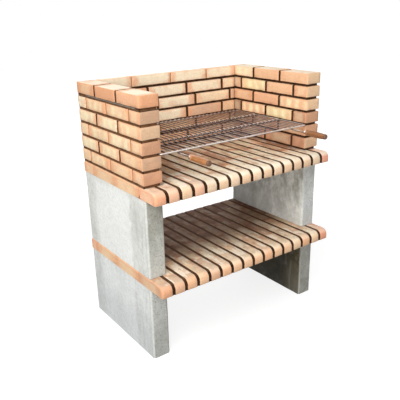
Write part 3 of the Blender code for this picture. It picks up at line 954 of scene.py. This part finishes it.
def make_beds():
    """The raked bed joints under the six courses and the joints in the inner corners."""
    low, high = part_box("firebox_mortar")
    wing_low, wing_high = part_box("left_wing_course_1")
    back_low, back_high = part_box("back_wall_course_1")
    overlap = 0.0008
    outer_recess, front_recess, back_recess, corner_recess = 0.0022, 0.0045, 0.0025, 0.006
    inner = JOINT_RECESS - wing_high.x
    back = back_high.y - back_recess
    shape, warm = Shape(), Shape()
    for number in range(1, COURSES + 1):
        course_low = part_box(f"left_wing_course_{number}")[0].z
        bottom, top = course_low - BED_JOINT - overlap, course_low + overlap
        add_mortar(warm, (wing_low.x + outer_recess, wing_low.y + front_recess, bottom),
                   (wing_high.x - JOINT_RECESS, back, top))
        add_mortar(shape, (inner, low.y, bottom), (high.x, back, top))
        add_mortar(shape, (-inner, back_low.y + JOINT_RECESS, bottom), (inner, back, top))
    for side in (-1, 1):
        xs = sorted((side * (back_high.x - MORTAR_LAP), side * -wing_high.x))
        add_mortar(shape, (xs[0], back_low.y + corner_recess, low.z), (xs[1], high.y, high.z), 0.0005)
    shape.piece("firebox_mortar_beds", mortar, "masonry", "mortar", ("firebox_mortar",))
    warm.piece("left_wing_mortar_beds", brown_mortar, "masonry", "mortar", ("firebox_mortar",))

    # Mortar smeared over the arris under the left wing's top course
    smear = Shape()
    under = wing_low.z + overlap
    add_mortar(smear, (wing_low.x + 0.0005, wing_low.y + 0.03, under - 0.0072),
               (wing_low.x + 0.02, back_low.y - 0.05, under + 0.003), 0.0016)
    smear.piece("left_wing_mortar_smear", grey_mortar, "masonry", "mortar")


# Concrete


def make_leg(node_name):
    """A cast slab on edge, with chamfered uprights, worn arrises and shallow waves in its faces."""
    low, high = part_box(node_name)
    width, depth, height = high - low
    spacing = 0.016
    corners = [(CHAMFER, 0), (width - CHAMFER, 0), (width, CHAMFER), (width, depth - CHAMFER),
               (width - CHAMFER, depth), (CHAMFER, depth), (0, depth - CHAMFER), (0, CHAMFER)]
    outline = []
    for a, b in zip(corners, corners[1:] + corners[:1]):
        a, b = Vector(a), Vector(b)
        run = b - a
        out = Vector((run.y, -run.x)).normalized()
        count = max(1, round(run.length / spacing))
        outline += [(a.lerp(b, i / count), out, i == 0) for i in range(count)]
    rings, uvw = [], []
    worn = 0.0016
    levels = [(0.0, worn), (worn * 0.4, worn * 0.3)]
    count = round((height - 2 * worn) / spacing)
    levels += [(worn + (height - 2 * worn) * i / count, 0.0) for i in range(count + 1)]
    levels += [(height - worn * 0.4, worn * 0.3), (height, worn)]
    seed = Vector((dice.uniform(0, 90), dice.uniform(0, 90), 0.0))
    for z, inset in levels:
        ring = []
        for p, out, is_corner in outline:
            place = Vector((p.x, p.y, z))
            at = place + seed
            bulge = 0.0006 * noise.noise(at * 9) - 0.0006
            if is_corner:
                bulge -= 0.0022 * max(0.0, noise.noise(at * 60) - 0.1)
            if inset:
                bulge -= inset + 0.002 * max(0.0, noise.noise(at * 50))
            moved = place + Vector((out.x, out.y, 0.0)) * bulge
            ring.append(moved + low)
            uvw.append((2 * p.x / width - 1, 2 * p.y / depth - 1, 2 * z / height - 1))
        rings.append(ring)
    inner = -1 if low.x > 0 else 1
    # Marks the inner face, where grime and painted light and shade are laid
    stain = [max(0.0, inner * u[0] - 0.97) / 0.03 for u in uvw]
    shape = Shape()
    shape.add(*loft(rings), uvw, mix=LEG_WEAR_AND_SHADE[node_name], stain=stain)
    shape.piece(f"{node_name}_concrete", concrete, "masonry", "concrete", (node_name,), smooth=False)


# Grill


def add_tube(shape, path, radius, sides, closed=False, painted_glints=None):
    """A round bar along a path in space, or closed to a loop.

    Its last argument gives the strength of a painted highlight at each point of the path. A bar with
    such highlights has domed ends.
    """
    count = len(path)
    rings = []
    for i, p in enumerate(path):
        before = path[i - 1] if i or closed else p
        after = path[(i + 1) % count] if i < count - 1 or closed else p
        run = (after - before).normalized()
        across = run.cross(Vector((0, 0, 1))).normalized()
        up = across.cross(run)
        rings.append([p + (across * math.cos(t) + up * math.sin(t)) * radius
                      for t in (2 * math.pi * s / sides for s in range(sides))])
    if painted_glints:
        run = (path[-1] - path[0]).normalized()
        tips = [[path[end] + run * sign * radius * 0.55 + (q - path[end]) * 0.55 for q in rings[end]]
                for end, sign in ((0, -1), (-1, 1))]
        rings = [tips[0], *rings, tips[1]]
        painted_glints = [painted_glints[0], *painted_glints, painted_glints[-1]]
    points, faces = loft(rings)
    if closed:
        faces = faces[:-2]
        start = (len(rings) - 1) * sides
        for s in range(sides):
            t = (s + 1) % sides
            faces.append((start + s, start + t, t, s))
    shape.add(points, faces, stain=[m for m in painted_glints for _ in range(sides)] if painted_glints else None)


def add_bead(shape, centre, radii):
    """A small weld bead."""
    work = bmesh.new()
    bmesh.ops.create_icosphere(work, subdivisions=1, radius=1.0)
    points = []
    for v in work.verts:
        jitter = 1 + 0.15 * noise.noise(centre * 900 + v.co * 2)
        points.append(tuple(centre + Vector(v.co[a] * radii[a] * jitter for a in range(3))))
    faces = [tuple(v.index for v in f.verts) for f in work.faces]
    work.free()
    shape.add(points, faces)


def make_grill():
    """The frame bent from one bar with its weld beads, the cross bars and the wires."""
    low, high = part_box("grill_grid")
    bar_z = low.z + FRAME_ROD
    wire_z = high.z - WIRE_ROD
    left, right = low.x + FRAME_ROD, high.x - FRAME_ROD
    front, back = low.y + FRAME_ROD, high.y - FRAME_ROD
    bend = 0.012
    path = []
    for cx, cy, start in ((left + bend, front + bend, 180), (right - bend, front + bend, 270),
                          (right - bend, back - bend, 0), (left + bend, back - bend, 90)):
        for step in range(9):
            angle = math.radians(start + 90 * step / 8)
            path.append(Vector((cx + bend * math.cos(angle), cy + bend * math.sin(angle), bar_z)))
    bars = Shape()
    add_tube(bars, path, FRAME_ROD, 16, closed=True)
    bar_ys = [front + (back - front) * (i + 1) / (CROSS_BARS + 1) for i in range(CROSS_BARS)]
    crossing = Shape()
    for y in bar_ys:
        run = [Vector((left + (right - left) * i / 8, y, bar_z)) for i in range(9)]
        add_tube(crossing, run, CROSS_ROD, 14)
    pitch = (right - left) / (WIRES + 1)
    wires = Shape()
    first, last = front - 0.0012, back + 0.0012
    for i in range(WIRES):
        x = left + (i + 1) * pitch
        bow = dice.uniform(-0.0012, 0.0012)
        ys = [first + (last - first) * step / 14 for step in range(15)]
        ys += [y + off for y in (front, *bar_ys, back) for off in (-0.013, -0.009, 0.005, 0.009)]
        ys = sorted(y for y in ys if first <= y <= last)
        run, painted_glints = [], []
        for y in ys:
            share = (y - first) / (last - first)
            sag = -0.0004 * math.sin(math.pi * share * 3) ** 2
            run.append(Vector((x + bow * math.sin(math.pi * share), y, wire_z + sag)))
            # Painted highlights where a wire rises over a cross bar, fainter at its back end
            near = any(-0.01 < y - bar < 0.006 for bar in bar_ys)
            painted_glints.append(dice.uniform(0.65, 0.95) if near else 0.35 if y > back - 0.012 else 0.0)
        add_tube(wires, run, WIRE_ROD, 10, painted_glints=painted_glints)
        for y in (front, *bar_ys, back):
            share = (y - front) / (back - front)
            at = Vector((x + bow * math.sin(math.pi * share), y, bar_z + FRAME_ROD * 0.55))
            add_bead(bars, at, (0.004, 0.0048, 0.0026))
    bars.piece("grill_frame", bright_steel, "grill", "steel", ("grill_grid",))
    crossing.piece("grill_cross_bars", dark_shaded_steel, "grill", "steel")
    wires.piece("grill_wires", wire_steel, "grill", "steel")


def add_turned(shape, profile, centre, mix=(0.0, 0.0, 0.0)):
    """A turned shape from (radius, distance to the front) pairs about an axis to the front."""
    steps = 36
    total = profile[-1][1]
    rings, uvw = [], []
    for radius, distance in profile:
        ring = []
        for s in range(steps):
            t = 2 * math.pi * s / steps
            ring.append(Vector((centre.x + radius * math.cos(t), centre.y - distance,
                                centre.z + radius * math.sin(t))))
            uvw.append((distance / total, 0.0, 0.0))
        rings.append(ring)
    shape.add(*loft(rings), uvw, mix=mix)


def make_handle(side, darkness):
    """A stem with its ferrule and tang, and the grip that is bored for the tang."""
    stem_name, grip_name = f"handle_stem_{side}", f"handle_grip_{side}"
    stem_low, stem_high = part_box(stem_name)
    grip_low, grip_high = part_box(grip_name)
    x = (stem_low.x + stem_high.x) / 2
    axis_z = (stem_low.z + stem_high.z) / 2
    start = Vector((x, stem_high.y, axis_z))
    reach = stem_high.y - grip_high.y
    rod, ferrule = FRAME_ROD, 0.0093
    stem = Shape()
    outline = [(0.0008, 0.0), (rod, 0.0), (rod, 0.02), (rod, 0.045)]
    outline += [(radius, reach + beyond) for radius, beyond in (
        (rod, -0.014), (rod + 0.0016, -0.0125), (ferrule - 0.0015, -0.012), (ferrule, -0.0105),
        (ferrule, -0.0035), (ferrule - 0.0008, -0.0028), (ferrule - 0.0008, -0.0018),
        (ferrule, -0.001), (ferrule, -0.0002), (rod, 0.0), (rod, 0.038), (0.0008, 0.038))]
    add_turned(stem, outline, start)
    stem.piece(f"{stem_name}_steel", bright_steel, "grill", "steel", (stem_name,))
    length = grip_high.y - grip_low.y
    grip = Shape()
    bore = 0.0045
    outline = [(0.0009, 0.0405), (bore, 0.04), (bore, 0.0006), (0.0052, 0.0), (0.0092, 0.0),
               (0.0112, 0.0008), (0.0125, 0.0026), (0.013, 0.0055), (0.0126, 0.0085),
               (0.0118, 0.0105), (0.0114, 0.012), (0.0118, 0.014), (0.0126, 0.022),
               (0.0134, 0.034), (0.0139, 0.048), (0.0141, 0.062), (0.0139, 0.076), (0.0135, 0.088),
               (0.0129, 0.098), (0.0124, 0.1045), (0.0121, 0.106), (0.0124, 0.1075),
               (0.0125, 0.112), (0.0121, 0.116), (0.011, 0.1185), (0.009, 0.1197),
               (0.0055, length), (0.0009, length)]
    add_turned(grip, outline, Vector((x, grip_high.y, axis_z)), mix=(0.0, darkness, 0.0))
    grip.piece(f"{grip_name}_wood", wood, "grill", "wood", (grip_name,))


make_slab("shelf", SHELF_NOSES)
make_slab("hearth", HEARTH_NOSES)
make_wing("left", LEFT_WING, LEFT_FRONTS)
make_wing("right", RIGHT_WING, RIGHT_FRONTS)
make_back_wall(BACK_WALL)
make_beds()
for leg in LEG_WEAR_AND_SHADE:
    make_leg(leg)
make_grill()
make_handle("left", 0.0)
make_handle("right", 0.55)


# Stage


def seen_directly(look):
    """One where the camera looks straight at a surface, or sees it mirrored or through glass."""
    path = look.node("LightPath").outputs
    mirrored = look.most(path["Is Glossy Ray"], path["Is Transmission Ray"])
    return look.most(path["Is Camera Ray"], mirrored)


def make_floor():
    """A pale floor that shows white where nothing shades it and keeps the object's shadow."""
    work = bmesh.new()
    bmesh.ops.create_grid(work, x_segments=2, y_segments=2, size=12.0)
    mesh = bpy.data.meshes.new("floor")
    work.to_mesh(mesh)
    work.free()
    floor = put_in_scene("floor", mesh)
    floor.location = (0.0, 0.0, -0.0006)
    m = new_nodes("floor_white")
    lit = m.shade({"Base Color": (0.3, 0.3, 0.3, 1.0), "Roughness": 0.9, "Specular IOR Level": 0.0})
    away = m.node("VectorMath", {0: m.place()}, operation="LENGTH").outputs["Value"]
    strength = m.ramp(away, 1.0, 2.4, 0.82, 1.0)
    glow = m.node("Emission", {"Color": WHITE, "Strength": strength}).outputs[0]
    glowing = m.node("AddShader", {0: lit, 1: glow}).outputs[0]
    shown = m.node("MixShader", {0: seen_directly(m), 1: lit, 2: glowing}).outputs[0]
    m.feed(m.tree.nodes["Material Output"].inputs["Surface"], shown)
    mesh.materials.append(m.owner)


def make_world():
    """White to the camera and in reflections, and a plain even light for the rest."""
    world = bpy.data.worlds.new("studio")
    bpy.context.scene.world = world
    look = Nodes(world)
    ends = {"Value": seen_directly(look), "To Min": 0.32, "To Max": 1.0}
    background = look.tree.nodes["Background"].inputs
    look.feed(background["Color"], WHITE)
    look.feed(background["Strength"], look.node("MapRange", ends).outputs[0])


def add_softbox(name, location, size, power):
    """A rectangular lamp that faces the middle of the object."""
    lamp = bpy.data.lights.new(name, "AREA")
    lamp.shape = "RECTANGLE"
    lamp.size, lamp.size_y = size
    lamp.energy = power
    item = put_in_scene(name, lamp)
    item.location = location
    ahead = Vector((0.0, 0.0, 0.7)) - Vector(location)
    item.rotation_euler = ahead.to_track_quat("-Z", "Y").to_euler()


def make_camera():
    """The photograph's viewpoint."""
    yaw, pitch, roll = 0.6243, -0.3504, -0.0232
    ahead = Vector((math.sin(yaw) * math.cos(pitch), math.cos(yaw) * math.cos(pitch),
                    math.sin(pitch)))
    right = Vector((math.cos(yaw), -math.sin(yaw), 0.0))
    up = right.cross(ahead)
    tilted_right = right * math.cos(roll) + up * math.sin(roll)
    tilted_up = up * math.cos(roll) - right * math.sin(roll)
    lens = bpy.data.cameras.new("camera")
    lens.sensor_width = 36.0
    lens.lens = 48.41
    camera = put_in_scene("camera", lens)
    camera.matrix_world = (Matrix.Translation((-1.5036, -1.9492, 1.4945))
                           @ Matrix((tilted_right, tilted_up, -ahead)).transposed().to_4x4())
    bpy.context.scene.camera = camera


make_floor()
make_world()
add_softbox("key", (-2.79, -1.62, 3.85), (2.8, 2.8), 190)
add_softbox("front", (-1.9, -3.5, 0.95), (2.4, 2.0), 64)
add_softbox("back", (2.4, 3.6, 2.0), (2.8, 2.4), 60)
make_camera()
bpy.context.scene.view_settings.view_transform = "Standard"
